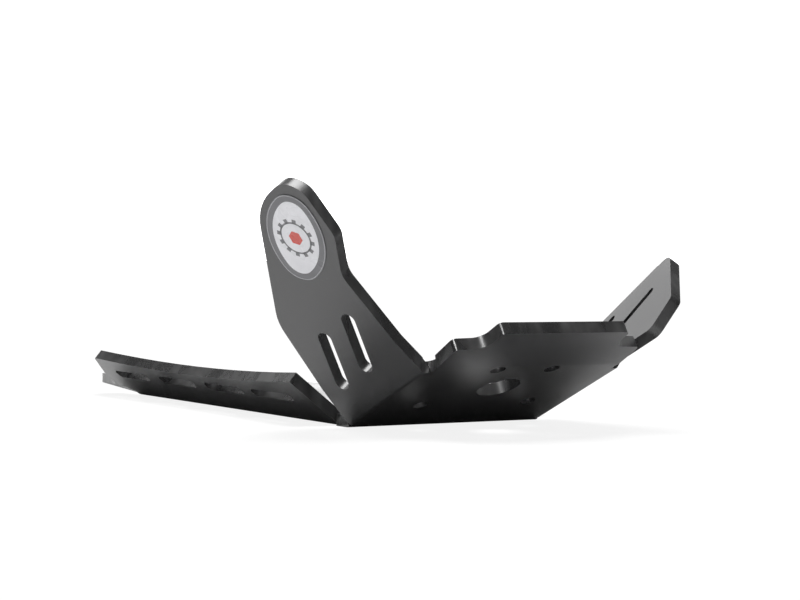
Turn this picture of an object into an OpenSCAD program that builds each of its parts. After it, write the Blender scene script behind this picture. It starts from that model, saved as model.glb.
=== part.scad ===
// Motorcycle skid plate folded from one thick plastic sheet.
// The long run rests on the floor, the raised panel climbs from its rear end,
// and each of them carries side panels folded up. Units are millimetres, +Z is up,
// +Y points along the long run, and X runs across it.

/* [Sheet] */
// Thickness of the sheet
sheet_t = 8; // [4:0.5:12]
// Outer radius of the folds beside the raised panel
fold_r = 3; // [1:0.5:6]
// Outer radius of the folds beside the long run
wing_fold_r = 6; // [1:0.5:7]

/* [Long run] */
// Length of the flat underside from its fold to the far end
run_len = 460; // [300:5:600]
// Width between the wing folds
run_w = 150; // [100:1:200]
// Distance from the fold to where the tapered end begins and the wing fold ends
taper_start = 317; // [310:1:335]
// Width of the tapered end at its tip
tip_w = 82; // [40:1:140]

/* [Wings] */
// Angle by which the wings are folded up
wing_angle = 40; // [10:1:70]
// Height of a wing at its ends, measured on the sheet
wing_h = 48; // [35:1:80]
// Sag of the hollow upper edge
wing_sag = 8; // [2:0.5:10]
// Start of the wing along the fold
wing_start = 15; // [8:1:40]
// Far end of the wing along the fold
wing_end = 342; // [280:1:440]
// Slope length cut from the wing's far upper corner
wing_nose_cut = 14; // [4:1:30]
// Number of slots in a wing
wing_slots = 4; // [1:1:5]
// Length of a wing slot from end to end
wing_slot_len = 54; // [20:1:60]
// Width of a wing slot
wing_slot_w = 8; // [4:0.5:12]
// Distance between the first two wing slots
wing_slot_pitch = 69; // [62:0.5:80]
// Growth of the distance from each wing slot to the next
wing_slot_gain = 3.5; // [0:0.5:5]
// Centre of the first slot along the fold
wing_slot_start = 71; // [45:1:100]
// Height of the slots above the fold line
wing_slot_h = 26.5; // [20:0.5:30]

/* [Raised panel] */
// Angle by which the panel rises from the long run
panel_angle = 25; // [5:1:45]
// Width between the side folds
panel_w = 156; // [120:1:220]
// Length of the side folds
side_fold_len = 98; // [94:1:102]
// Distance from the front fold to the lip fold
lip_start = 106.5; // [105:0.5:110]
// Angle by which the lip rises from the panel
lip_angle = 6; // [2:0.5:20]
// Length of the lip beyond its fold
lip_len = 43.5; // [30:0.5:70]
// Step from the side folds in to the sides of the lip
lip_inset = 5; // [5:0.5:15]
// Length of the wide part of the lip
lip_shoulder = 23; // [10:0.5:30]
// Width of the rear edge
tail_w = 100; // [60:1:110]
// Radius of the hollow curve between shoulder and rear edge
lip_wave_r = 9; // [4:0.5:12]
// Corner radius of the lip
lip_corner_r = 3.5; // [1:0.5:5]
// Radius of the relief notch at the end of a side fold
notch_r = 5; // [3:0.5:7]

/* [Holes] */
// Diameter of the drain hole
drain_d = 29.8; // [15:0.1:45]
// Distance of the drain hole from the front fold
drain_y = 67.7; // [50:0.1:80]
// Diameter of the bolt holes
bolt_d = 10.5; // [5:0.1:12]
// Distance between the front bolt holes
front_bolt_gap = 87.6; // [50:0.1:120]
// Distance of the front bolt holes from the front fold
front_bolt_y = 38.9; // [20:0.1:45]
// Distance between the rear bolt holes
rear_bolt_gap = 43.4; // [30:0.1:110]
// Distance of the rear bolt holes from the front fold
rear_bolt_y = 99.2; // [92:0.1:99.5]

/* [Side panels] */
// Angle by which both side panels are folded up
side_angle = 52; // [30:1:80]
// Gap between the front fold and the side panels
side_gap = 4; // [3:0.5:8]
// Length of the slots in the side panels
side_slot_len = 45; // [20:1:50]

/* [Tall side panel] */
// Height of the tall side panel, measured on the sheet
ear_h = 147; // [120:1:180]
// Height of the bend in its front edge
ear_waist_h = 83; // [60:1:100]
// Setback of the bend in its front edge
ear_waist_s = 24.5; // [18:0.5:32]
// Setback of the shoulder where the top begins
ear_shoulder_s = 92.5; // [75:0.5:100]
// Setback of the rear end of the top
ear_tip_s = 137; // [130:1:160]
// Setback of the outward corner in the rear edge
ear_kink_s = 126.5; // [118:0.5:129]
// Height of the outward corner in the rear edge
ear_kink_h = 100.5; // [92:0.5:110]
// Setback of the inward corner in the rear edge
ear_neck_s = 105; // [100:0.5:112]
// Height of the inward corner in the rear edge
ear_neck_h = 79; // [70:0.5:84]
// Angle of the slots to the fold
ear_slot_angle = 57; // [40:1:75]
// Setback of the middle of the front slot
ear_slot_s = 38.8; // [34:0.1:44]
// Height of the middle of the slots
ear_slot_h = 40.3; // [34:0.1:46]
// Distance between the slots along the fold
ear_slot_pitch = 30.6; // [22:0.1:34]
// Width of the slots
ear_slot_w = 10.8; // [5:0.1:13]

/* [Low side panel] */
// Height of the front corner
flap_front_h = 27; // [15:0.5:34]
// Setback of the peak
flap_peak_s = 129.5; // [115:0.5:134]
// Height of the peak
flap_peak_h = 82.5; // [70:0.5:100]
// Setback of the rear corner
flap_tip_s = 154; // [148:0.5:170]
// Height of the rear corner
flap_tip_h = 28.5; // [20:0.5:40]
// Setback of the heel below the rear corner
flap_heel_s = 141; // [130:0.5:145]
// Height of the free lower edge above the fold
flap_heel_h = 6.8; // [5:0.1:10]
// Angle of the slots to the fold
flap_slot_angle = 37; // [25:1:50]
// Setback of the middle of the rear slot
flap_slot_s = 105.5; // [98:0.1:110]
// Height of the middle of the rear slot
flap_slot_h = 39.5; // [34:0.1:46]
// Distance between the slots along the fold
flap_slot_pitch = 42.5; // [25:0.5:48]
// Height difference between the slots
flap_slot_drop = 2.7; // [0:0.1:6]
// Width of the slots
flap_slot_w = 8; // [4:0.1:11]

/* [Badge] */
// Long half axis of the oval badge
badge_a = 32.4; // [26:0.1:36]
// Short half axis of the oval badge
badge_b = 22.1; // [20:0.1:24]
// Radius of the badge's narrow ends
badge_end_r = 16; // [12:0.5:18]
// Thickness of the badge
badge_t = 0.4; // [0.2:0.1:1]
// Setback of the badge's centre on the tall side panel
badge_s = 98.7; // [94:0.1:102]
// Height of the badge's centre on the tall side panel
badge_h = 115.5; // [110:0.1:119]
// Tilt of the badge's long axis to the fold
badge_tilt = 41; // [30:1:50]

/* [Hidden] */
$fn = 64;
// The origin lies on the underside, halfway along the long run.
origin_y = run_len / 2;
// Flat strip kept beside a fold's crease, how far it runs into the sheet beside
// it, the relief cut at a fold's front end, and clearance for cutting tools.
fold_flat = 0.8;
seam = 0.5;
relief = 0.5;
cut_room = 20;
below = 30;
// Half width of the long run where its taper begins, just clear of the wing.
taper_root = run_w / 2 - sheet_t * tan(wing_angle / 2) - fold_flat - seam;
lip_w = panel_w - 2 * lip_inset;
badge_side_r = ((badge_a - badge_end_r) * (badge_a - badge_end_r) + badge_b * badge_b
    - badge_end_r * badge_end_r) / (2 * (badge_b - badge_end_r));
sheet_color = [0.05, 0.05, 0.055];
badge_color = [0.9, 0.9, 0.9];

function dir2(a, b) = (b - a) / norm(b - a);
function turn2(a, b, c) = acos(dir2(a, b) * dir2(b, c));
function setback(a, b, c, r) = r * tan(turn2(a, b, c) / 2);
function corner_pts(a, b, c, r) = r == 0 ? [b] :
    [b - dir2(a, b) * setback(a, b, c, r), b + dir2(b, c) * setback(a, b, c, r)];
function corner_mid(a, b, c, r) = b + dir2([0, 0], dir2(b, c) - dir2(a, b)) * r / cos(turn2(a, b, c) / 2);
function side2(a, b, c) = cross(b - a, c - b);
// Reach of a fold's crease into the flat sheet, with a narrow flat strip.
function fold_arm(angle) = sheet_t * tan(angle / 2) + fold_flat;
// Radius of the circle that hollows an edge of the given chord and sag.
function sag_radius(chord, sag) = chord * chord / (8 * sag) + sag / 2;

// Sliver of a true circle between a corner's chord and its arc.
module corner_cap(a, b, c, r) {
    t = corner_pts(a, b, c, r);
    intersection() {
        translate(corner_mid(a, b, c, r)) circle(r = r);
        polygon(side2(a, b, c) > 0 ? [t[0], b, t[1]] : [t[0], t[1], b]);
    }
}

// Closed outline, listed anticlockwise, whose corners are true arcs of the given radii.
module rounded_outline(pts, radii) {
    n = len(pts);
    difference() {
        union() {
            polygon([for (i = [0:n - 1])
                each corner_pts(pts[(i + n - 1) % n], pts[i], pts[(i + 1) % n], radii[i])]);
            for (i = [0:n - 1])
                if (radii[i] > 0 && side2(pts[(i + n - 1) % n], pts[i], pts[(i + 1) % n]) > 0)
                    corner_cap(pts[(i + n - 1) % n], pts[i], pts[(i + 1) % n], radii[i]);
        }
        for (i = [0:n - 1])
            if (radii[i] > 0 && side2(pts[(i + n - 1) % n], pts[i], pts[(i + 1) % n]) < 0)
                corner_cap(pts[(i + n - 1) % n], pts[i], pts[(i + 1) % n], radii[i]);
    }
}

// Slot with round ends, centred, running along X.
module slot2(length, width) {
    square([length - width, width], center = true);
    for (k = [-1, 1]) translate([k * (length - width) / 2, 0]) circle(d = width);
}

// Section of a folded sheet: a short arm along -X, a long arm turned up by the
// angle, a rounded outside at the origin and a crease inside.
module fold_section(reach, angle, r) {
    s = r * tan(angle / 2);
    crease = [-sheet_t * tan(angle / 2), sheet_t];
    out = [cos(angle), sin(angle)];
    up = [-sin(angle), cos(angle)];
    polygon([[-fold_arm(angle), 0], [-s, 0], out * s, out * reach, out * reach + up * sheet_t,
        crease, [-fold_arm(angle), sheet_t]]);
    translate([-s, r]) circle(r = r);
}

// Folded sheet whose fold runs along Y from y0 to y1, before its outline is cut.
module folded_blank(y0, y1, reach, angle, r) {
    translate([0, y1, 0]) rotate([90, 0, 0]) linear_extrude(height = y1 - y0)
        fold_section(reach, angle, r);
}

module mirrored(side) {
    mirror([side < 0 ? 1 : 0, 0, 0]) children();
}

module on_panel() {
    rotate([-panel_angle, 0, 0]) children();
}

module on_lip() {
    on_panel() translate([0, -lip_start, 0]) rotate([-lip_angle, 0, 0]) children();
}

// Prism that trims a folded panel to the outline given as its child. In the
// outline X runs up the panel from the fold, and Y along the fold.
module trim_prism(angle) {
    rotate([0, -angle, 0]) translate([0, 0, -3 * sheet_t]) linear_extrude(height = 6 * sheet_t)
        children();
}

// Length profile of the sheet through the long run, the raised panel and the lip.
module length_section() {
    u = [for (a = [0, panel_angle, panel_angle + lip_angle]) [-cos(a), sin(a)]];
    n = [for (a = [0, panel_angle, panel_angle + lip_angle]) [sin(a), cos(a)]];
    s = fold_r * tan(panel_angle / 2);
    lip_fold = u[1] * lip_start;
    rear = lip_fold + u[2] * (lip_len + cut_room);
    polygon([[run_len, 0], [run_len, sheet_t], (n[0] + n[1]) * sheet_t / (1 + n[0] * n[1]),
        lip_fold + (n[1] + n[2]) * sheet_t / (1 + n[1] * n[2]), rear + n[2] * sheet_t, rear, lip_fold,
        u[1] * s, [s, 0]]);
    translate([s, fold_r]) circle(r = fold_r);
}

// Everything beside the long run that the sheet's outline leaves out.
module run_side_cut() {
    slope = (tip_w / 2 - taper_root) / (run_len - taper_start);
    inner = run_w / 2 - fold_arm(wing_angle) + seam;
    translate([0, 0, -sheet_t]) linear_extrude(height = 3 * sheet_t)
        polygon([[inner, wing_start - relief], [run_w / 2 + cut_room, wing_start - 5 * relief],
            [run_w / 2 + cut_room, run_len + cut_room], [tip_w / 2 + slope * cut_room, run_len + cut_room],
            [taper_root, taper_start - seam], [inner, taper_start - seam]]);
}

// The strip beside the raised panel that belongs to its side folds.
module panel_side_cut() {
    inner = panel_w / 2 - fold_arm(side_angle) + seam;
    on_panel() translate([0, 0, -sheet_t]) linear_extrude(height = 3 * sheet_t)
        polygon([[inner, -side_fold_len - 1], [inner + 2 * cut_room, -side_fold_len - 1],
            [inner + 2 * cut_room, 4 * relief - side_gap], [panel_w / 2, 4 * relief - side_gap],
            [inner, relief - side_gap]]);
}

// Everything around the lip that the sheet's outline leaves out.
module lip_cut() {
    edge = lip_start - side_fold_len + 1;
    wide = panel_w / 2 + cut_room;
    end = lip_len + 2 * cut_room;
    on_lip() translate([0, 0, -sheet_t]) linear_extrude(height = 3 * sheet_t)
        rounded_outline([[-wide, edge], [-wide, -end], [wide, -end], [wide, edge], [lip_w / 2, edge],
            [lip_w / 2, -lip_shoulder], [tail_w / 2 + 1.5, -lip_shoulder - 1], [tail_w / 2, -lip_len],
            [-tail_w / 2, -lip_len], [-tail_w / 2 - 1.5, -lip_shoulder - 1], [-lip_w / 2, -lip_shoulder],
            [-lip_w / 2, edge]],
            [0, 0, 0, 0, 0, lip_corner_r, lip_wave_r, lip_corner_r, lip_corner_r, lip_wave_r,
            lip_corner_r, 0]);
}

// Long run, raised panel and lip in one piece.
module spine() {
    difference() {
        translate([-panel_w / 2, 0, 0]) rotate([90, 0, 90]) linear_extrude(height = panel_w)
            length_section();
        for (side = [-1, 1]) mirrored(side) {
            run_side_cut();
            panel_side_cut();
        }
        lip_cut();
    }
}

module wing(side) {
    chord = wing_end - wing_start;
    mirrored(side) translate([run_w / 2, 0, 0]) intersection() {
        folded_blank(wing_start - cut_room, wing_end + cut_room, wing_h + cut_room, wing_angle, wing_fold_r);
        trim_prism(wing_angle) difference() {
            rounded_outline([[-below, wing_start], [4, wing_start], [wing_h, wing_start + 7],
                [wing_h - 3, wing_end - wing_nose_cut], [wing_h / 2, wing_end], [wing_h / 4, wing_end],
                [4, taper_start], [-below, taper_start]], [0, 0, 3, 3, 6, 4, 0, 0]);
            translate([wing_h - wing_sag - 1.5 + sag_radius(chord, wing_sag), (wing_start + wing_end) / 2])
                circle(r = sag_radius(chord, wing_sag), $fn = 512);
            for (i = [0:wing_slots - 1])
                translate([wing_slot_h, wing_slot_start + i * wing_slot_pitch + i * (i - 1) / 2 * wing_slot_gain])
                    rotate(90)
                        slot2(wing_slot_len, wing_slot_w);
        }
    }
}

// Side panel beside the raised panel, cut to the outline given as its child.
module side_panel(side, reach) {
    on_panel() mirrored(side) translate([panel_w / 2, 0, 0]) intersection() {
        folded_blank(-2 * side_fold_len, cut_room, reach + cut_room, side_angle, fold_r);
        trim_prism(side_angle) children();
    }
}

module ear_outline() {
    difference() {
        rounded_outline([[-below, -side_gap], [-below, -side_fold_len], [ear_neck_h / 3, -side_fold_len],
            [ear_neck_h, -ear_neck_s], [ear_kink_h, -ear_kink_s], [ear_h, -ear_tip_s],
            [ear_h, -ear_shoulder_s], [ear_waist_h, -ear_waist_s], [30, -side_gap - 5],
            [5, -side_gap]], [0, 0, 30, 15, 12, 16, 45, 30, 30, 0]);
        for (i = [0, 1])
            translate([ear_slot_h, -ear_slot_s - i * ear_slot_pitch]) rotate(ear_slot_angle - 90)
                mirror([0, 1]) slot2(side_slot_len, ear_slot_w);
    }
}

module flap_outline() {
    difference() {
        rounded_outline([[-below, -side_gap], [-below, -side_fold_len], [flap_heel_h - 1, -side_fold_len],
            [flap_heel_h, -flap_heel_s], [flap_tip_h, -flap_tip_s], [flap_peak_h, -flap_peak_s],
            [flap_front_h, -side_gap - 2], [5, -side_gap]], [0, 0, 0, 8, 5, 8, 6, 0]);
        for (i = [0, 1])
            translate([flap_slot_h - i * flap_slot_drop, -flap_slot_s + i * flap_slot_pitch])
                rotate(-90 - flap_slot_angle) slot2(side_slot_len, flap_slot_w);
    }
}

// Round hole straight through the raised panel.
module panel_hole(x, y, d) {
    on_panel() translate([x, -y, -sheet_t]) cylinder(d = d, h = 3 * sheet_t);
}

// Round relief notch where a side fold ends, drilled square to the fold.
module fold_notch(side) {
    on_panel() mirrored(side) translate([panel_w / 2, -side_fold_len - notch_r + 1, 0])
        rotate([0, -side_angle / 2, 0]) translate([0, 0, -2 * sheet_t])
            cylinder(r = notch_r, h = 5 * sheet_t);
}

module skid_plate() {
    color(sheet_color) translate([0, -origin_y, 0]) difference() {
        union() {
            spine();
            wing(-1);
            wing(1);
            side_panel(-1, ear_h) ear_outline();
            side_panel(1, flap_peak_h) flap_outline();
        }
        panel_hole(0, drain_y, drain_d);
        for (k = [-1, 1]) {
            panel_hole(k * front_bolt_gap / 2, front_bolt_y, bolt_d);
            panel_hole(k * rear_bolt_gap / 2, rear_bolt_y, bolt_d);
            fold_notch(k);
        }
    }
}

// Four-centred oval with its long axis along X.
module oval2(a, b, end_r, side_r) {
    k = side_r / norm([a - end_r, side_r - b]);
    intersection() {
        translate([0, b - side_r]) circle(r = side_r, $fn = 96);
        translate([0, side_r - b]) circle(r = side_r, $fn = 96);
        square([2 * k * (a - end_r), 2 * b + 2], center = true);
    }
    for (i = [-1, 1]) translate([i * (a - end_r), 0]) circle(r = end_r);
}

module side_badge() {
    color(badge_color) translate([0, -origin_y, 0]) on_panel() mirrored(-1)
        translate([panel_w / 2, 0, 0]) rotate([0, -side_angle, 0])
            translate([badge_h, -badge_s, -badge_t]) rotate(-90 + badge_tilt) mirror([0, 1])
                linear_extrude(height = badge_t) oval2(badge_a, badge_b, badge_end_r, badge_side_r);
}

skid_plate();
side_badge();
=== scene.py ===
"""A motorcycle skid plate folded from one thick black plastic sheet, on a pale studio floor.

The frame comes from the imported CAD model, in metres, with +Z up. The sheet is a rounded
copy of its CAD node, with one finish for its faces and one for its cut edges. Two slots,
the low wing's end and the wings' inner creases are cut anew in that copy. The badge's
print is a set of thin inks laid on the CAD badge, in part by Geometry Nodes.
"""

import enum
import logging
import math
from dataclasses import dataclass, field

import bmesh
import bpy
from bpy.types import GeometryNodeTree, Material, Mesh, Node, NodeSocket, Object, ShaderNodeTree
from mathutils import Matrix, Vector


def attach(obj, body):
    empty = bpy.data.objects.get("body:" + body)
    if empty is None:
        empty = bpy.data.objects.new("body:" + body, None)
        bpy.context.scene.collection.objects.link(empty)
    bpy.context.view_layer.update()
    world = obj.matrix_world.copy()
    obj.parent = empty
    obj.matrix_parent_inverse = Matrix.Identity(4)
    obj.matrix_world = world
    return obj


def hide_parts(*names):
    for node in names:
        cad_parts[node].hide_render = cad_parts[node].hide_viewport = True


log = logging.getLogger("skid_plate")
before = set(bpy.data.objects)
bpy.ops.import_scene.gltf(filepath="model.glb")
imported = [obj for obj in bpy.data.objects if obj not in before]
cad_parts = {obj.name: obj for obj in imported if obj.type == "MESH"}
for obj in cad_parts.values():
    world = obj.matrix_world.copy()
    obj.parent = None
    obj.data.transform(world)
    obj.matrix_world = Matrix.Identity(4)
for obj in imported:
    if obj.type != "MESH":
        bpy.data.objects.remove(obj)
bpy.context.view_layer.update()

Colour = tuple[float, float, float]
Point = tuple[float, float, float]
Pair = tuple[float, float]
Look = tuple[NodeSocket, NodeSocket, NodeSocket]

# Socket numbers of a mix node that mixes colours.
MIX_SHARE, MIX_FIRST, MIX_SECOND, MIX_RESULT = 0, 6, 7, 2
# The group sockets that aren't plain numbers.
SOCKET_KINDS = {"Place": "NodeSocketVector", "Geometry": "NodeSocketGeometry",
                "Teeth": "NodeSocketInt"}
# The grey that worn and dusty places of a finish move towards.
WORN_GREY = 0.35
# Vertices nearer than this are one, in metres.
MERGE_GAP = 2e-6
# Cosines past which two directions count as the same or as square to each other.
SAME_WAY, SQUARE = 0.9, 0.3
# Slots of the sheet's two finishes.
FACE_SLOT, EDGE_SLOT = 0, 1


def add_object(name: str, data: bpy.types.ID) -> Object:
    """Makes an object at the origin and links it to the scene.

    Args:
        name: the object's name.
        data: its mesh, lamp or camera.

    Returns:
        The object.
    """
    made = bpy.data.objects.new(name, data)
    bpy.context.scene.collection.objects.link(made)
    return made


def baked(name: str, source: Object) -> Object:
    """Turns a piece with modifiers into a plain mesh and drops the piece.

    Args:
        name: the plain piece's name.
        source: the piece with its modifiers.

    Returns:
        The plain piece.
    """
    bpy.context.view_layer.update()
    graph = bpy.context.evaluated_depsgraph_get()
    mesh = bpy.data.meshes.new_from_object(source.evaluated_get(graph),
                                           preserve_all_data_layers=True, depsgraph=graph)
    mesh.name = name
    piece = add_object(name, mesh)
    bpy.data.objects.remove(source)
    return piece


# ---------------------------------------------------------------- node helpers


class NodeBook:
    """Adds, finds and links the nodes of one tree."""

    def __init__(self, tree: bpy.types.NodeTree) -> None:
        """Keeps the tree.

        Args:
            tree: the shader or geometry tree to write in.
        """
        self.tree = tree

    def find(self, kind: str) -> Node:
        """Finds the first node of a kind.

        Args:
            kind: the node's type name, such as ShaderNodeBsdfPrincipled.

        Returns:
            The node.
        """
        return next(node for node in self.tree.nodes if node.bl_idname == kind)

    def feed(self, node: Node, **inputs: object) -> None:
        """Fills or links a node's inputs.

        Args:
            node: the node.
            inputs: values or output sockets by input name, with _ for a space; i0, i1
                and so on go by number.
        """
        for key, value in inputs.items():
            number = key[1:]
            socket = node.inputs[int(number) if number.isdigit() else key.replace("_", " ")]
            if isinstance(value, NodeSocket):
                self.tree.links.new(value, socket)
            else:
                socket.default_value = value

    def add(self, kind: str, settings: dict | None = None, **inputs: object) -> Node:
        """Adds a node, sets its properties and fills or links its inputs.

        Args:
            kind: the node's type name, such as ShaderNodeMath.
            settings: properties of the node, such as its operation.
            inputs: its inputs, as in feed.

        Returns:
            The new node.
        """
        node = self.tree.nodes.new(kind)
        for key, value in (settings or {}).items():
            setattr(node, key, value)
        self.feed(node, **inputs)
        return node

    def math(self, operation: str, a: object, b: object = 0.0,
             clamp: bool = False) -> NodeSocket:
        """Adds a math node.

        Args:
            operation: the operation's name.
            a: the first value or socket.
            b: the second value or socket.
            clamp: whether the result stays between 0 and 1.

        Returns:
            The result's socket.
        """
        node = self.add("ShaderNodeMath", {"operation": operation, "use_clamp": clamp}, i0=a, i1=b)
        return node.outputs[0]

    def span(self, value: object, low: float, high: float, to_low: float = 0.0,
             to_high: float = 1.0) -> NodeSocket:
        """Maps a value's range smoothly on to another one.

        Args:
            value: the value's socket.
            low: where the result starts to change.
            high: where it stops.
            to_low: the result at low.
            to_high: the result at high.

        Returns:
            The result's socket.
        """
        node = self.add("ShaderNodeMapRange", {"interpolation_type": "SMOOTHSTEP"}, i0=value,
                        i1=low, i2=high, i3=to_low, i4=to_high)
        return node.outputs[0]

    def blend(self, share: object, first: object, second: object) -> NodeSocket:
        """Mixes two colours.

        Args:
            share: the share of the second colour, as a socket.
            first: the first colour or its socket.
            second: the second colour or its socket.

        Returns:
            The mixed colour's socket.
        """
        node = self.add("ShaderNodeMix", {"data_type": "RGBA"})
        for index, value in ((MIX_SHARE, share), (MIX_FIRST, first), (MIX_SECOND, second)):
            if isinstance(value, NodeSocket):
                self.tree.links.new(value, node.inputs[index])
            else:
                node.inputs[index].default_value = value if index == MIX_SHARE else (*value, 1.0)
        return node.outputs[MIX_RESULT]


def new_group(kind: str, name: str, first: str, numbers: dict[str, float],
              outputs: tuple[str, ...]) -> tuple[NodeBook, Node, Node]:
    """Starts a node group that takes a place or a mesh, and named numbers.

    Args:
        kind: ShaderNodeTree or GeometryNodeTree.
        name: the group's name.
        first: its first input, Place or Geometry.
        numbers: its number inputs and their usual values.
        outputs: the names of its outputs.

    Returns:
        The group's book, its input node and its output node.
    """
    tree = bpy.data.node_groups.new(name, kind)
    labels = [(label, "INPUT") for label in (first, *numbers)]
    labels += [(label, "OUTPUT") for label in outputs]
    for label, way in labels:
        socket = tree.interface.new_socket(label, in_out=way,
                                           socket_type=SOCKET_KINDS.get(label, "NodeSocketFloat"))
        if way == "INPUT" and label in numbers:
            socket.default_value = numbers[label]
    book = NodeBook(tree)
    return book, book.add("NodeGroupInput"), book.add("NodeGroupOutput")


# ---------------------------------------------------------------- shared effects


@dataclass
class SurfaceEffects:
    """The effects that more than one finish uses, each a shader group."""

    scratch_turns: Pair = (0.5, -0.9)
    scratch_stretches: Pair = (0.05, 0.04)
    scratch_fineness: float = 9.0
    fine_grain_share: float = 0.35
    mark_stretch: float = 0.06
    band_share: float = 0.8
    grain: ShaderNodeTree = field(init=False)
    scuffs: ShaderNodeTree = field(init=False)
    cutter: ShaderNodeTree = field(init=False)

    def __post_init__(self) -> None:
        """Builds the groups once."""
        self.grain = self.build_grain()
        self.scuffs = self.build_scuffs()
        self.cutter = self.build_cutter()

    def build_grain(self) -> ShaderNodeTree:
        """Makes fine pressed grain over a slow waviness, as rolled plastic sheet has.

        Returns:
            The group, with its inputs Fineness and Waviness.
        """
        book, inner, outer = new_group("ShaderNodeTree", "sheet_grain", "Place",
                                       {"Fineness": 1400.0, "Waviness": 9.0}, ("Height", "Cloud"))
        place = inner.outputs["Place"]
        fine = book.add("ShaderNodeTexNoise", None, Vector=place, Scale=inner.outputs["Fineness"],
                        Detail=3.0, Roughness=0.6)
        slow = book.add("ShaderNodeTexNoise", None, Vector=place, Scale=inner.outputs["Waviness"],
                        Detail=2.0, Roughness=0.5)
        pressed = book.math("MULTIPLY", fine.outputs[0], self.fine_grain_share)
        book.feed(outer, Height=book.math("ADD", pressed, slow.outputs[0]), Cloud=slow.outputs[0])
        return book.tree

    def build_scuffs(self) -> ShaderNodeTree:
        """Makes thin straight handling scratches in two directions, in loose patches.

        Returns:
            The group, with its inputs Density and Share.
        """
        book, inner, outer = new_group("ShaderNodeTree", "handling_scuffs", "Place",
                                       {"Density": 55.0, "Share": 0.5}, ("Mask",))
        place, density = inner.outputs["Place"], inner.outputs["Density"]
        lines: list[NodeSocket] = []
        for turn, stretch in zip(self.scratch_turns, self.scratch_stretches):
            turned = book.add("ShaderNodeMapping", None, Vector=place, Rotation=(0.3, turn, turn),
                              Scale=(1.0, stretch, 1.0))
            noise = book.add("ShaderNodeTexNoise", None, Vector=turned.outputs[0],
                             Scale=book.math("MULTIPLY", density, self.scratch_fineness),
                             Detail=1.0)
            lines.append(book.span(noise.outputs[0], low=0.72, high=0.78))
        patches = book.add("ShaderNodeTexNoise", None, Vector=place, Scale=density, Detail=2.0)
        where = book.span(patches.outputs[0], low=0.45, high=0.7)
        both = book.math("MULTIPLY", book.math("MAXIMUM", *lines), where)
        book.feed(outer, Mask=book.math("MULTIPLY", both, inner.outputs["Share"], clamp=True))
        return book.tree

    def build_cutter(self) -> ShaderNodeTree:
        """Makes the marks that a router bit leaves across a cut edge, with a few slow bands.

        Returns:
            The group, with its inputs Marks and Bands.
        """
        book, inner, outer = new_group("ShaderNodeTree", "cutter_marks", "Place",
                                       {"Marks": 420.0, "Bands": 38.0}, ("Height", "Bands"))
        across = book.add("ShaderNodeMapping", None, Vector=inner.outputs["Place"],
                          Scale=(1.0, 1.0, self.mark_stretch)).outputs[0]
        fine = book.add("ShaderNodeTexNoise", None, Vector=across, Scale=inner.outputs["Marks"],
                        Detail=2.0, Roughness=0.55)
        wide = book.add("ShaderNodeTexNoise", None, Vector=across, Scale=inner.outputs["Bands"],
                        Detail=3.0, Roughness=0.65)
        slow = book.math("MULTIPLY", wide.outputs[0], self.band_share)
        book.feed(outer, Height=book.math("ADD", fine.outputs[0], slow), Bands=wide.outputs[0])
        return book.tree


# ---------------------------------------------------------------- finishes


@dataclass(frozen=True)
class Finish:
    """What every finish has: its name, its look and how far its roughness wanders.

    Heights are in metres. smoother and rougher are the steps that its roughness takes
    below and above the usual value.
    """

    name: str
    colour: Colour
    roughness: float
    specular: float = 0.5
    grain_height: float = 0.00002
    bump_strength: float = 0.35
    smoother: float = 0.03
    rougher: float = 0.04

    def look(self, book: NodeBook, place: NodeSocket, effects: SurfaceEffects) -> Look:
        """Writes the nodes of the finish's own look.

        Args:
            book: the material's book.
            place: the Object coordinates.
            effects: the shared shader groups.

        Returns:
            The sockets of its colour, its roughness and its relief.
        """
        raise NotImplementedError

    def build(self, effects: SurfaceEffects) -> Material:
        """Makes the material.

        Args:
            effects: the shared shader groups.

        Returns:
            The finished material.
        """
        material = bpy.data.materials.new(self.name)
        material.use_nodes = True
        book = NodeBook(material.node_tree)
        shader = book.find("ShaderNodeBsdfPrincipled")
        book.feed(shader, Base_Color=(*self.colour, 1.0), Roughness=self.roughness,
                  Specular_IOR_Level=self.specular)
        place = book.add("ShaderNodeTexCoord").outputs["Object"]
        tone, rough, height = self.look(book, place, effects)
        bump = book.add("ShaderNodeBump", None, Height=height, Strength=self.bump_strength,
                        Distance=self.grain_height)
        book.feed(shader, Base_Color=tone, Roughness=rough, Normal=bump.outputs[0])
        return material

    def lighter(self, share: float) -> Colour:
        """Moves the finish's colour towards the worn grey.

        Args:
            share: how far, from 0 to 1.

        Returns:
            The paler colour.
        """
        return tuple(c + (WORN_GREY - c) * share for c in self.colour)

    def uneven(self, book: NodeBook, pattern: NodeSocket) -> NodeSocket:
        """Lets the roughness wander with a pattern.

        Args:
            book: the material's book.
            pattern: the pattern's socket.

        Returns:
            The roughness socket.
        """
        return book.span(pattern, low=0.3, high=0.7, to_low=self.roughness - self.smoother,
                         to_high=self.roughness + self.rougher)


@dataclass(frozen=True)
class SheetFace(Finish):
    """Satin rolled face of the black plastic sheet."""

    scuff_share: float = 0.35
    cloud_tone: float = 0.02
    scuff_tone: float = 0.16
    scuff_dulling: float = 0.12

    def look(self, book: NodeBook, place: NodeSocket, effects: SurfaceEffects) -> Look:
        """Lays faint clouds and thin scratches over the face, as Finish.look says."""
        grain = book.add("ShaderNodeGroup", {"node_tree": effects.grain}, Place=place)
        scuffs = book.add("ShaderNodeGroup", {"node_tree": effects.scuffs}, Place=place,
                          Share=self.scuff_share)
        cloud, mask = grain.outputs["Cloud"], scuffs.outputs["Mask"]
        tone = book.blend(book.span(cloud, low=0.3, high=0.7), self.colour,
                          self.lighter(self.cloud_tone))
        tone = book.blend(mask, tone, self.lighter(self.scuff_tone))
        dulled = book.math("MULTIPLY", mask, self.scuff_dulling)
        rough = book.math("ADD", self.uneven(book, cloud), dulled)
        return tone, rough, grain.outputs["Height"]


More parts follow.
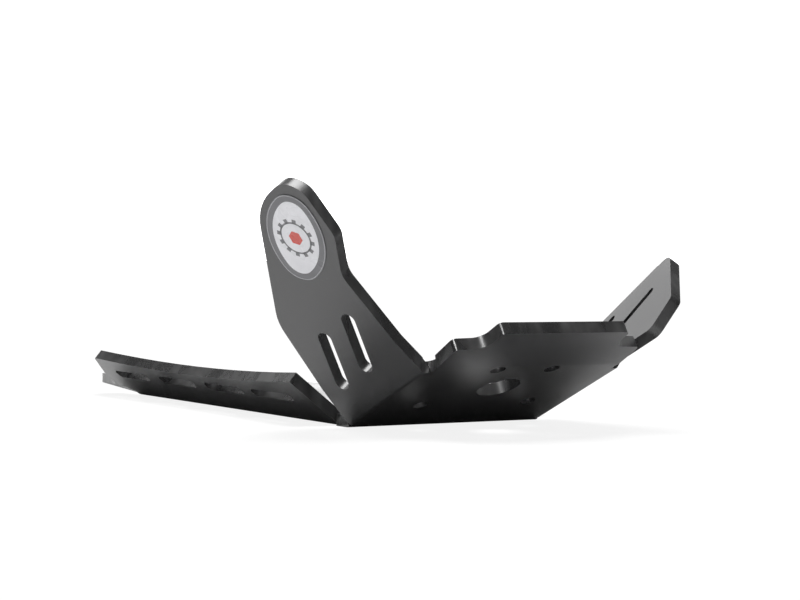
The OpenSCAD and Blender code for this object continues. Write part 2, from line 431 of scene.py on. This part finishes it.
@dataclass(frozen=True)
class CutEdge(Finish):
    """Routed edge of the sheet, with marks across it and bands of paler, duller plastic."""

    bump_strength: float = 0.5
    smoother: float = 0.12
    rougher: float = 0.08
    grain_fineness: float = 900.0
    grain_share: float = 0.3
    band_tone: float = 0.14

    def look(self, book: NodeBook, place: NodeSocket, effects: SurfaceEffects) -> Look:
        """Lays a cutter's marks and bands across the edge, as Finish.look says."""
        marks = book.add("ShaderNodeGroup", {"node_tree": effects.cutter}, Place=place)
        grain = book.add("ShaderNodeGroup", {"node_tree": effects.grain}, Place=place,
                         Fineness=self.grain_fineness)
        bands = marks.outputs["Bands"]
        tone = book.blend(book.span(bands, low=0.4, high=0.75), self.colour,
                          self.lighter(self.band_tone))
        fine = book.math("MULTIPLY", grain.outputs["Height"], self.grain_share)
        height = book.math("ADD", marks.outputs["Height"], fine)
        return tone, self.uneven(book, bands), height


@dataclass(frozen=True)
class PrintedInk(Finish):
    """Glossy printed film of the badge, with faint rub marks."""

    bump_strength: float = 0.2
    smoother: float = 0.04
    rougher: float = 0.05
    grain_fineness: float = 2600.0
    grain_waviness: float = 60.0
    rub_density: float = 90.0
    rub_share: float = 0.2
    rub_tone: float = 0.4
    rub_dulling: float = 0.2
    cloud_dimming: float = 0.93

    def look(self, book: NodeBook, place: NodeSocket, effects: SurfaceEffects) -> Look:
        """Lays faint clouds and rub marks over the ink, as Finish.look says."""
        grain = book.add("ShaderNodeGroup", {"node_tree": effects.grain}, Place=place,
                         Fineness=self.grain_fineness, Waviness=self.grain_waviness)
        scuffs = book.add("ShaderNodeGroup", {"node_tree": effects.scuffs}, Place=place,
                          Density=self.rub_density, Share=self.rub_share)
        cloud, mask = grain.outputs["Cloud"], scuffs.outputs["Mask"]
        dimmed = tuple(c * self.cloud_dimming for c in self.colour)
        tone = book.blend(book.span(cloud, low=0.3, high=0.8), self.colour, dimmed)
        tone = book.blend(mask, tone, self.lighter(self.rub_tone))
        dulled = book.math("MULTIPLY", mask, self.rub_dulling)
        rough = book.math("ADD", self.uneven(book, cloud), dulled)
        return tone, rough, grain.outputs["Height"]


# ---------------------------------------------------------------- folded sheet


class Side(enum.Enum):
    """The two sides of the plate."""

    TALL = -1
    LOW = 1


@dataclass(frozen=True)
class Panel:
    """One flat panel of the sheet: a point of its underside and its turn from the floor."""

    name: str
    corner: Vector
    turn: Matrix

    def local(self, point: Vector) -> Vector:
        """Places a point in the panel's own frame, with Z through the sheet.

        Args:
            point: the point in the model's frame.

        Returns:
            The point in the panel's frame.
        """
        return self.turn.transposed() @ (point - self.corner)

    def normal(self) -> Vector:
        """Gives the direction through the sheet.

        Returns:
            A unit vector in the model's frame.
        """
        return self.turn @ Vector((0.0, 0.0, 1.0))


@dataclass
class FoldedSheet:
    """The folded plastic sheet, dressed over its CAD node.

    Sizes are in metres and angles in degrees. The first ones are as in the part's source.
    Three shapes are cut anew here: the low side panel's two slots get their true lean and
    width, the low wing stops between its second and third slots, and the inside of each
    wing's fold becomes a plain crease.
    """

    node: str = "skid_plate"
    fold_y: float = -0.230
    thickness: float = 0.008
    half_run: float = 0.075
    half_panel: float = 0.078
    lip_start: float = 0.1065
    panel_angle: float = 25.0
    lip_angle: float = 6.0
    side_angle: float = 52.0
    wing_angle: float = 40.0
    cad_slot_width: float = 0.008
    # The low side panel's slots.
    slot_centres: tuple[Pair, ...] = ((0.0395, -0.1055), (0.0368, -0.0630))
    slot_length: float = 0.045
    slot_width: float = 0.0056
    slot_lean: float = 37.0
    slot_steps: int = 16
    # The low wing's end: a cut from its root by the fold to its tip, and past the wing.
    wing_stop: float = -0.050
    trim_inset: float = 0.008
    trim_root: float = 0.012
    trim_tip: float = 0.002
    trim_reach: float = 0.045
    trim_corner: Pair = (0.2, 0.16)
    trim_heights: Pair = (-0.02, 0.09)
    # The wings' creases: how far each cut reaches over the run, up the wing, over the
    # floor and along the fold.
    crease_on_run: float = 0.012
    crease_on_wing: float = 0.013
    crease_top: float = 0.030
    crease_span: Pair = (-0.13, 0.222)
    # Rounding, and how near counts as touching.
    edge_round: float = 0.0005
    round_steps: int = 2
    sharp_angle: float = 28.0
    flat_angle: float = 0.4
    touch: float = 0.0004
    slack: float = 0.0005
    hair: float = 0.00005

    def panels(self) -> list[Panel]:
        """Lists the flat panels, each with its place and turn.

        Returns:
            The run, the raised panel, the lip, both wings and both side panels.
        """
        front = Vector((0.0, self.fold_y, 0.0))
        climb = Matrix.Rotation(math.radians(-self.panel_angle), 3, "X")
        tilt = Matrix.Rotation(math.radians(-self.lip_angle), 3, "X")
        lip_corner = front + climb @ Vector((0.0, -self.lip_start, 0.0))
        found = [Panel("run", front, Matrix.Identity(3)), Panel("raised", front, climb),
                 Panel("lip", lip_corner, climb @ tilt)]
        for side in Side:
            way, label = side.value, side.name.lower()
            fold = Matrix.Rotation(math.radians(-way * self.wing_angle), 3, "Y")
            corner = front + Vector((way * self.half_run, 0, 0))
            found.append(Panel(f"wing_{label}", corner, fold))
            fold = Matrix.Rotation(math.radians(-way * self.side_angle), 3, "Y")
            corner = front + climb @ Vector((way * self.half_panel, 0, 0))
            found.append(Panel(f"side_{label}", corner, climb @ fold))
        return found

    def is_cut(self, centre: Vector, normal: Vector, panels: list[Panel]) -> bool:
        """Tells whether a face is a cut edge of the panel that it lies on.

        Args:
            centre: the face's centre.
            normal: the face's direction.
            panels: the flat panels of the sheet.

        Returns:
            True for a cut edge or a hole's wall, False for a rolled face or a fold.
        """
        for panel in panels:
            depth = panel.local(centre).z
            on_skin = min(abs(depth), abs(depth - self.thickness)) < self.touch
            if on_skin and abs(normal.dot(panel.normal())) > SAME_WAY:
                return False
        inside = [panel for panel in panels
                  if -self.touch < panel.local(centre).z < self.thickness + self.touch]
        return any(abs(normal.dot(panel.normal())) < SQUARE for panel in inside)

    def close_slots(self, work: bmesh.types.BMesh, panel: Panel) -> None:
        """Closes the two slots of a side panel, so that they can be cut again.

        The front slot is open-ended in the CAD node. The strip of the panel's edge
        between its two open ends is put back first, and the holes are filled after it.

        Args:
            work: the sheet's mesh, changed in place.
            panel: the side panel.
        """
        def height(vertex: bmesh.types.BMVert) -> float:
            """Gives a vertex's height over the panel's underside."""
            return panel.local(vertex.co).z

        lean = math.radians(self.slot_lean)
        along = Vector((math.sin(lean), math.cos(lean)))
        reach = self.slot_length / 2 + self.slack
        half = self.cad_slot_width / 2 + self.slack
        walls = []
        for part in work.faces:
            spot = panel.local(part.calc_center_median())
            for u, v in self.slot_centres:
                away = Vector((spot.x - u, spot.y - v))
                inside = abs(away.dot(along)) < reach and abs(away.cross(along)) < half
                if inside and self.slack < spot.z < self.thickness - self.slack:
                    walls.append(part)
        bmesh.ops.delete(work, geom=walls, context="FACES")
        ends = [sorted(e.verts, key=height) for e in work.edges if e.is_boundary]
        through = [(low, high) for low, high in ends
                   if height(high) - height(low) > self.thickness - 2 * self.touch]
        if len(through) == 2:
            (low_a, high_a), (low_b, high_b) = through
            work.faces.new((low_a, low_b, high_b, high_a))
        bmesh.ops.holes_fill(work, edges=[e for e in work.edges if e.is_boundary], sides=0)
        bmesh.ops.recalc_face_normals(work, faces=work.faces)

    @staticmethod
    def add_prism(work: bmesh.types.BMesh, ring: list[Vector], panel: Panel,
                  span: Pair) -> None:
        """Adds a closed prism that stands square to a panel.

        Args:
            work: the mesh that it goes into.
            ring: its outline in the panel's plane.
            panel: the panel.
            span: the heights of its two ends over the panel's underside.
        """
        rows = [[work.verts.new(panel.corner + panel.turn @ Vector((p.x, p.y, z))) for p in ring]
                for z in span]
        work.faces.new(rows[0])
        work.faces.new(rows[1])
        for i in range(len(ring)):
            after = (i + 1) % len(ring)
            work.faces.new((rows[0][i], rows[0][after], rows[1][after], rows[1][i]))

    def slot_outline(self, centre: Pair) -> list[Vector]:
        """Gives the outline of one slot, in its panel's plane.

        Args:
            centre: the slot's centre.

        Returns:
            The points round it.
        """
        lean = math.radians(self.slot_lean)
        along = Vector((math.sin(lean), -math.cos(lean)))
        across = Vector((math.cos(lean), math.sin(lean)))
        half, r = (self.slot_length - self.slot_width) / 2, self.slot_width / 2
        ring = []
        for end in (1.0, -1.0):
            for i in range(self.slot_steps + 1):
                t = math.pi * i / self.slot_steps - math.pi / 2
                spot = end * (along * (half + r * math.cos(t)) + across * (r * math.sin(t)))
                ring.append(Vector(centre) + spot)
        return ring

    def trim_outline(self) -> list[Vector]:
        """Gives the outline of the cut that ends the low wing, seen from above.

        Returns:
            The points round it.
        """
        inner = self.half_run - self.trim_inset
        outer, end = self.trim_corner
        tip = self.wing_stop - self.trim_tip
        corners = ((inner, self.wing_stop + self.trim_root), (inner + self.trim_reach, tip),
                   (outer, tip), (outer, end), (inner, end))
        return [Vector(corner) for corner in corners]

    def crease_outline(self) -> list[Vector]:
        """Gives the section of the cut inside a wing's fold, seen along the fold.

        Its corner lies a hair under the crease. Its two sides rise to a hair over the run
        and over the wing, so that it has no face in theirs.

        Returns:
            The points round it, with X outwards and Y up.
        """
        top, lean = self.thickness, math.radians(self.wing_angle)
        crease = Vector((self.half_run - top * math.tan(lean / 2), top))
        bisector = Vector((-math.sin(lean / 2), math.cos(lean / 2)))
        run_end = crease + Vector((-self.crease_on_run, self.hair))
        wing_end = crease + Vector((math.cos(lean), math.sin(lean))) * self.crease_on_wing
        wing_end += Vector((-math.sin(lean), math.cos(lean))) * self.hair
        return [run_end, crease - bisector * self.hair, wing_end,
                Vector((wing_end.x, self.crease_top)), Vector((run_end.x, self.crease_top))]

    def build_cutter(self, panel: Panel) -> Object:
        """Makes all the prisms that are cut out of the sheet.

        Args:
            panel: the low side panel.

        Returns:
            The cutter, which the caller removes.
        """
        work = bmesh.new()
        for centre in self.slot_centres:
            self.add_prism(work, self.slot_outline(centre), panel,
                           (-self.thickness, 2 * self.thickness))
        floor = Panel("floor", Vector(), Matrix.Identity(3))
        self.add_prism(work, self.trim_outline(), floor, self.trim_heights)
        upright = Panel("section", Vector(), Matrix.Rotation(math.radians(90.0), 3, "X"))
        for side in Side:
            ring = [Vector((side.value * p.x, p.y)) for p in self.crease_outline()]
            self.add_prism(work, ring, upright, self.crease_span)
        bmesh.ops.recalc_face_normals(work, faces=work.faces)
        mesh = bpy.data.meshes.new("sheet_cutter")
        work.to_mesh(mesh)
        work.free()
        return add_object("sheet_cutter", mesh)

    def recut(self, mesh: Mesh, panel: Panel) -> Mesh:
        """Closes the low side panel's slots and cuts the three true shapes.

        Args:
            mesh: the copy of the CAD node's mesh.
            panel: the low side panel.

        Returns:
            The cut mesh.
        """
        work = bmesh.new()
        work.from_mesh(mesh)
        bmesh.ops.remove_doubles(work, verts=work.verts, dist=MERGE_GAP)
        self.close_slots(work, panel)
        work.to_mesh(mesh)
        work.free()
        solid = add_object("sheet_before_cuts", mesh)
        cutter = self.build_cutter(panel)
        cut = solid.modifiers.new("cuts", "BOOLEAN")
        cut.operation, cut.solver, cut.object = "DIFFERENCE", "EXACT", cutter
        cut.use_self = True
        piece = baked("sheet_with_cuts", solid)
        result = piece.data
        bpy.data.objects.remove(piece)
        bpy.data.objects.remove(cutter)
        return result

    def merge_and_sort(self, mesh: Mesh, panels: list[Panel]) -> None:
        """Merges the loose triangles into flat faces and gives each face its finish.

        Args:
            mesh: the sheet's mesh, changed in place.
            panels: the flat panels of the sheet.
        """
        work = bmesh.new()
        work.from_mesh(mesh)
        bmesh.ops.remove_doubles(work, verts=work.verts, dist=MERGE_GAP)
        bmesh.ops.dissolve_degenerate(work, edges=work.edges, dist=MERGE_GAP)
        bmesh.ops.dissolve_limit(work, angle_limit=math.radians(self.flat_angle),
                                 verts=work.verts, edges=work.edges)
        work.normal_update()
        for part in work.faces:
            cut = self.is_cut(part.calc_center_median(), part.normal, panels)
            part.material_index = EDGE_SLOT if cut else FACE_SLOT
            part.smooth = True
        work.to_mesh(mesh)
        work.free()
        if "custom_normal" in mesh.attributes:
            mesh.attributes.remove(mesh.attributes["custom_normal"])

    def build(self, face: Material, edge: Material) -> Object:
        """Copies the CAD node, cuts it, rounds its edges and gives it its two finishes.

        Args:
            face: the finish of the rolled faces.
            edge: the finish of the cut edges.

        Returns:
            The dressed sheet.
        """
        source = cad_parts[self.node]
        panels = self.panels()
        low_side = next(panel for panel in panels if panel.name == "side_low")
        mesh = self.recut(source.data.copy(), low_side)
        mesh.name = "folded_sheet"
        mesh.materials.clear()
        mesh.materials.append(face)
        mesh.materials.append(edge)
        self.merge_and_sort(mesh, panels)
        sharp = add_object("sheet_before_rounding", mesh)
        bevel = sharp.modifiers.new("rounding", "BEVEL")
        bevel.width = self.edge_round
        bevel.segments = self.round_steps
        bevel.limit_method = "ANGLE"
        bevel.angle_limit = math.radians(self.sharp_angle)
        bevel.harden_normals = True
        bevel.material = EDGE_SLOT
        return baked("folded_sheet", sharp)


# ---------------------------------------------------------------- oval badge


@dataclass
class OvalBadge:
    """The oval badge's print, laid on the CAD badge in layers one ink thick.

    Sizes are in metres and angles in degrees. The badge's own frame has X along its long
    axis and Z out of the sheet.
    """

    node: str = "side_badge"
    half_long: float = 0.0324
    half_short: float = 0.0221
    end_radius: float = 0.016
    thickness: float = 0.0004
    setback: float = 0.0987
    height: float = 0.1155
    tilt: float = 41.0
    ink: float = 0.00003
    oval_points: int = 96
    rim_inset: float = 0.0007
    rim_width: float = 0.0006
    field_inset: float = 0.0050
    disc_points: int = 64
    disc_radius: float = 0.0118
    teeth: int = 12
    tooth_radius: float = 0.0122
    tooth_reach: float = 0.0036
    tooth_width: float = 0.0030
    hub_radius: float = 0.0106
    accent_sides: int = 6
    accent_radius: float = 0.0052
    accent_turn: float = 30.0

    def place(self, sheet: FoldedSheet) -> Matrix:
        """Finds the badge's own frame.

        Args:
            sheet: the sheet that carries the badge.

        Returns:
            The frame's 4 by 4 matrix.
        """
        def turn(angle: float, axis: str) -> Matrix:
            """Gives a turn of so many degrees about an axis."""
            return Matrix.Rotation(math.radians(angle), 4, axis)

        mirror = Matrix.Diagonal((-1.0, 1.0, 1.0, 1.0))
        flip = Matrix.Diagonal((1.0, -1.0, 1.0, 1.0))
        return (Matrix.Translation((0.0, sheet.fold_y, 0.0)) @ turn(-sheet.panel_angle, "X")
                @ mirror @ Matrix.Translation((sheet.half_panel, 0.0, 0.0))
                @ turn(-sheet.side_angle, "Y")
                @ Matrix.Translation((self.height, -self.setback, -self.thickness))
                @ turn(-90.0 + self.tilt, "Z") @ flip @ turn(180.0, "X"))

    def oval(self, inset: float) -> list[Vector]:
        """Gives points of the badge's outline, moved inwards.

        Args:
            inset: how far in.

        Returns:
            The points, anticlockwise.
        """
        a, b, r = self.half_long, self.half_short, self.end_radius
        big = ((a - r) ** 2 + b * b - r * r) / (2.0 * (b - r))
        switch = math.atan2(big - b, a - r)
        points = []
        for i in range(self.oval_points):
            t = 2.0 * math.pi * i / self.oval_points
            x, y = abs(math.cos(t)), abs(math.sin(t))
            if math.atan2(y, x) < switch:
                local = Vector((a - r + (r - inset) * x, (r - inset) * y, 0.0))
            else:
                local = Vector(((big - inset) * x, b - big + (big - inset) * y, 0.0))
            points.append(Vector((math.copysign(local.x, math.cos(t)),
                                  math.copysign(local.y, math.sin(t)), 0.0)))
        return points

    @staticmethod
    def polygon(radius: float, count: int, turn: float = 0.0) -> list[Vector]:
        """Gives the corners of a regular polygon.

        Args:
            radius: how far they are from the centre.
            count: how many there are.
            turn: where the first one lies, in degrees.

        Returns:
            The points, anticlockwise.
        """
        start = math.radians(turn)
        return [Vector((radius * math.cos(start + 2 * math.pi * i / count),
                        radius * math.sin(start + 2 * math.pi * i / count), 0.0))
                for i in range(count)]

    @staticmethod
    def flat_mesh(name: str, points: list[Vector], lift: float,
                  filled: bool) -> Mesh:
        """Makes a closed line of edges, or the face inside it, over the badge.

        Args:
            name: the mesh's name.
            points: the line's points in the badge's frame.
            lift: how far it lies above the badge.
            filled: whether it is a face.

        Returns:
            The mesh.
        """
        count = len(points)
        edges = [] if filled else [(i, (i + 1) % count) for i in range(count)]
        faces = [list(range(count))] if filled else []
        mesh = bpy.data.meshes.new(name)
        mesh.from_pydata([(p.x, p.y, lift) for p in points], edges, faces)
        return mesh

    @staticmethod
    def film(name: str, points: list[Vector], lift: float, place: Matrix,
             finish: Material) -> Object:
        """Makes a thin flat ink of the given outline.

        Args:
            name: the piece's name.
            points: its outline in the badge's frame, anticlockwise.
            lift: how far its top lies above the badge.
            place: the badge's frame.
            finish: its material.

        Returns:
            The piece.
        """
        work = bmesh.new()
        top = [work.verts.new(place @ (p + Vector((0.0, 0.0, lift)))) for p in points]
        low = [work.verts.new(place @ p) for p in points]
        work.faces.new(top)
        work.faces.new(list(reversed(low)))
        for i, here in enumerate(top):
            after = (i + 1) % len(top)
            work.faces.new((top[after], here, low[i], low[after]))
        bmesh.ops.recalc_face_normals(work, faces=work.faces)
        mesh = bpy.data.meshes.new(name)
        work.to_mesh(mesh)
        work.free()
        mesh.materials.append(finish)
        return add_object(name, mesh)

    def line_tree(self, finish: Material) -> GeometryNodeTree:
        """Makes a tree that turns a closed line of edges into a flat printed line.

        Args:
            finish: the line's material.

        Returns:
            The tree, with its inputs Width and Lift.
        """
        book, inner, outer = new_group("GeometryNodeTree", "printed_line", "Geometry",
                                       {"Width": self.rim_width, "Lift": self.ink}, ("Geometry",))
        curve = book.add("GeometryNodeMeshToCurve", None, i0=inner.outputs["Geometry"])
        upright = book.add("GeometryNodeSetCurveNormal", {"mode": "Z_UP"}, i0=curve.outputs[0])
        profile = book.add("GeometryNodeCurvePrimitiveQuadrilateral", None,
                           Width=inner.outputs["Width"], Height=inner.outputs["Lift"])
        swept = book.add("GeometryNodeCurveToMesh", None, i0=upright.outputs[0],
                         i1=profile.outputs[0])
        made = book.add("GeometryNodeSetMaterial", None, i0=swept.outputs[0], Material=finish)
        real = book.add("GeometryNodeRealizeInstances", None, i0=made.outputs[0])
        book.feed(outer, i0=real.outputs[0])
        return book.tree

    def cog_tree(self, finish: Material) -> GeometryNodeTree:
        """Makes a tree that stands flat teeth round a disc.

        Args:
            finish: the cog's material.

        Returns:
            The tree, with its inputs Teeth, Radius, Reach, Width and Lift.
        """
        book, inner, outer = new_group("GeometryNodeTree", "printed_cog", "Geometry", {
            "Teeth": self.teeth, "Radius": self.tooth_radius, "Reach": self.tooth_reach,
            "Width": self.tooth_width, "Lift": self.ink}, ("Geometry",))
        ring = book.add("GeometryNodeMeshCircle", None, Vertices=inner.outputs["Teeth"],
                        Radius=inner.outputs["Radius"])
        size = book.add("ShaderNodeCombineXYZ", None, X=inner.outputs["Reach"],
                        Y=inner.outputs["Width"], Z=inner.outputs["Lift"])
        tooth = book.add("GeometryNodeMeshCube", None, Size=size.outputs[0])
        spot = book.add("GeometryNodeInputPosition")
        facing = book.add("FunctionNodeAlignRotationToVector", {"axis": "X"},
                          Vector=spot.outputs[0])
        teeth = book.add("GeometryNodeInstanceOnPoints", None, Points=ring.outputs[0],
                         Instance=tooth.outputs[0], Rotation=facing.outputs[0])
        joined = book.add("GeometryNodeJoinGeometry", None, i0=teeth.outputs[0])
        book.feed(joined, i0=inner.outputs["Geometry"])
        real = book.add("GeometryNodeRealizeInstances", None, i0=joined.outputs[0])
        made = book.add("GeometryNodeSetMaterial", None, i0=real.outputs[0], Material=finish)
        book.feed(outer, i0=made.outputs[0])
        return book.tree

    @staticmethod
    def grown(name: str, mesh: Mesh, tree: GeometryNodeTree,
              place: Matrix, **sizes: float) -> Object:
        """Runs a tree on a mesh and puts the result in place as a plain mesh.

        Args:
            name: the piece's name.
            mesh: what the tree starts from, in the badge's frame.
            tree: the Geometry Nodes tree.
            place: the badge's frame.
            sizes: values for the tree's named inputs.

        Returns:
            The plain piece.
        """
        start = add_object(name + "_start", mesh)
        modifier = start.modifiers.new("growth", "NODES")
        modifier.node_group = tree
        for item in tree.interface.items_tree:
            if item.in_out == "INPUT" and item.name in sizes:
                modifier[item.identifier] = sizes[item.name]
        piece = baked(name, start)
        piece.data.transform(place)
        return piece

    def build(self, sheet: FoldedSheet,
              inks: dict[str, Material]) -> list[Object]:
        """Builds every layer of the print, from the badge up.

        Args:
            sheet: the sheet that carries the badge.
            inks: the inks by name: base, rim, field, line and accent.

        Returns:
            The pieces.
        """
        place, ink = self.place(sheet), self.ink
        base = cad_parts[self.node]
        base.data.materials.clear()
        base.data.materials.append(inks["base"])
        rim_path = self.flat_mesh("rim_path", self.oval(self.rim_inset), ink / 2, filled=False)
        disc = self.flat_mesh("cog_disc", self.polygon(self.disc_radius, self.disc_points),
                              1.5 * ink, filled=True)
        hub = self.polygon(self.hub_radius, self.disc_points)
        accent = self.polygon(self.accent_radius, self.accent_sides, self.accent_turn)
        return [
            self.grown("badge_rim", rim_path, self.line_tree(inks["rim"]), place,
                       Width=self.rim_width, Lift=ink),
            self.film("badge_field", self.oval(self.field_inset), ink, place, inks["field"]),
            self.grown("badge_cog", disc, self.cog_tree(inks["line"]), place, Teeth=self.teeth,
                       Radius=self.tooth_radius, Reach=self.tooth_reach,
                       Width=self.tooth_width, Lift=3 * ink),
            self.film("badge_cog_field", hub, 3 * ink, place, inks["field"]),
            self.film("badge_accent", accent, 4 * ink, place, inks["accent"]),
        ]


# ---------------------------------------------------------------- studio


@dataclass(frozen=True)
class Lamp:
    """One square soft lamp: its place and side in metres, and its power in watts."""

    name: str
    place: Point
    side: float
    watts: float
    lights_diffuse: bool = True

    def build(self, aim: Vector) -> Object:
        """Hangs the lamp.

        Args:
            aim: the point that it faces.

        Returns:
            The lamp.
        """
        data = bpy.data.lights.new(self.name, "AREA")
        data.size, data.energy = self.side, self.watts
        lamp = add_object(self.name, data)
        lamp.location = self.place
        lamp.rotation_mode = "QUATERNION"
        lamp.rotation_quaternion = (aim - Vector(self.place)).to_track_quat("-Z", "Y")
        lamp.visible_diffuse = self.lights_diffuse
        return lamp


@dataclass
class Studio:
    """Pale floor, soft lamps, a plain pale surround and the camera.

    Sizes are in metres. The camera's place and axes were fitted to the photograph.
    """

    eye: Point = (-0.775253, -1.349026, 0.117483)
    right: Point = (0.835165, -0.549793, 0.015063)
    up: Point = (0.001101, 0.029059, 0.999577)
    back: Point = (-0.549999, -0.834795, 0.024874)
    lens: float = 90.0
    sensor: float = 36.0
    sight: Pair = (0.05, 100.0)
    floor_size: float = 30.0
    floor_drop: float = 0.0002
    floor_grey: float = 0.86
    floor_glow: float = 1.05
    bright_way: Point = (0.45, 0.89, 0.08)
    aim: Point = (0.0, -0.1, 0.05)
    lamps: tuple[Lamp, ...] = (
        Lamp("top_softbox", (0.1, -0.1, 1.6), 1.1, 36.0),
        Lamp("key_lamp", (-0.95, -0.75, 1.05), 0.35, 10.0, lights_diffuse=False),
    )

    def build_camera(self) -> Object:
        """Sets the camera at the photograph's place and lens.

        Returns:
            The camera.
        """
        data = bpy.data.cameras.new("studio_camera")
        data.lens, data.sensor_width = self.lens, self.sensor
        data.clip_start, data.clip_end = self.sight
        camera = add_object("studio_camera", data)
        turn = Matrix((self.right, self.up, self.back)).transposed()
        camera.matrix_world = Matrix.Translation(self.eye) @ turn.to_4x4()
        bpy.context.scene.camera = camera
        return camera

    def floor_material(self) -> Material:
        """Makes the floor's material, white to the camera and a plain pale grey to the rest.

        It keeps a soft shadow near the model, glows evenly further out and is clear from
        below.

        Returns:
            The material.
        """
        material = bpy.data.materials.new("studio_floor")
        material.use_nodes = True
        book = NodeBook(material.node_tree)
        shader = book.find("ShaderNodeBsdfPrincipled")
        grey = self.floor_grey
        book.feed(shader, Base_Color=(grey, grey, grey, 1.0), Roughness=0.9,
                  Specular_IOR_Level=0.1)
        rays = book.add("ShaderNodeLightPath")
        glow = book.add("ShaderNodeEmission", None, Color=(1.0, 1.0, 1.0, 1.0),
                        Strength=self.floor_glow)
        place = book.add("ShaderNodeTexCoord").outputs["Object"]
        away = book.add("ShaderNodeVectorMath", {"operation": "LENGTH"}, i0=place)
        share = book.span(away.outputs["Value"], low=0.45, high=1.1, to_low=0.82, to_high=1.0)
        seen = book.add("ShaderNodeMixShader", None, i0=share, i1=shader.outputs[0],
                        i2=glow.outputs[0])
        first = book.add("ShaderNodeMixShader", None, i0=rays.outputs["Is Camera Ray"],
                         i1=shader.outputs[0], i2=seen.outputs[0])
        clear = book.add("ShaderNodeBsdfTransparent")
        behind = book.add("ShaderNodeNewGeometry").outputs["Backfacing"]
        last = book.add("ShaderNodeMixShader", None, i0=behind, i1=first.outputs[0],
                        i2=clear.outputs[0])
        book.feed(book.find("ShaderNodeOutputMaterial"), Surface=last.outputs[0])
        return material

    def build_floor(self) -> Object:
        """Makes the pale floor, a hair under the model.

        Returns:
            The floor.
        """
        half = self.floor_size / 2
        mesh = bpy.data.meshes.new("studio_floor")
        corners = [(-half, -half, 0), (half, -half, 0), (half, half, 0), (-half, half, 0)]
        mesh.from_pydata(corners, [], [(0, 1, 2, 3)])
        mesh.materials.append(self.floor_material())
        floor = add_object("studio_floor", mesh)
        floor.location.z = -self.floor_drop
        return floor

    def build_world(self) -> None:
        """Makes the surround: bright behind the model, dim elsewhere, white to the camera."""
        world = bpy.data.worlds.new("studio_surround")
        bpy.context.scene.world = world
        world.use_nodes = True
        world.node_tree.nodes.clear()
        book = NodeBook(world.node_tree)
        way = book.add("ShaderNodeTexCoord").outputs["Generated"]
        away = book.add("ShaderNodeVectorMath", {"operation": "DOT_PRODUCT"}, i0=way,
                        i1=self.bright_way)
        level = book.span(away.outputs["Value"], low=0.84, high=0.95, to_low=0.18, to_high=2.7)
        rays = book.add("ShaderNodeLightPath")
        strength = book.math("MAXIMUM", level, rays.outputs["Is Camera Ray"])
        glow = book.add("ShaderNodeBackground", None, Color=(1.0, 1.0, 1.0, 1.0),
                        Strength=strength)
        book.add("ShaderNodeOutputWorld", None, i0=glow.outputs[0])

    def build(self) -> None:
        """Builds the whole studio."""
        self.build_camera()
        self.build_floor()
        self.build_world()
        for lamp in self.lamps:
            lamp.build(Vector(self.aim))
        bpy.context.scene.view_settings.view_transform = "Standard"


# ---------------------------------------------------------------- the whole


SHEET_FACE = SheetFace("sheet_face", (0.014, 0.014, 0.0155), 0.35, specular=1.0)
CUT_EDGE = CutEdge("cut_edge", (0.013, 0.013, 0.0135), 0.31, specular=0.8,
                   grain_height=0.000018)
BADGE_INKS = {
    "base": PrintedInk("badge_base", (0.16, 0.16, 0.17), 0.3),
    "rim": PrintedInk("badge_rim_ink", (0.42, 0.42, 0.44), 0.3),
    "field": PrintedInk("badge_white_ink", (0.78, 0.78, 0.81), 0.28),
    "line": PrintedInk("badge_grey_ink", (0.20, 0.20, 0.21), 0.3),
    "accent": PrintedInk("badge_red_ink", (0.62, 0.10, 0.08), 0.3),
}


def main() -> None:
    """Builds the studio, the sheet and the badge, and ties each piece to the body."""
    logging.basicConfig(level=logging.INFO, format="%(name)s: %(message)s")
    Studio().build()
    effects = SurfaceEffects()
    sheet = FoldedSheet()
    plate = sheet.build(SHEET_FACE.build(effects), CUT_EDGE.build(effects))
    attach(plate, "root")
    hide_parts(sheet.node)
    log.info("%s: %d faces", plate.name, len(plate.data.polygons))
    inks = {name: ink.build(effects) for name, ink in BADGE_INKS.items()}
    for piece in OvalBadge().build(sheet, inks):
        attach(piece, "root")
        log.info("%s: %d faces", piece.name, len(piece.data.polygons))


if __name__ == "__main__":
    main()
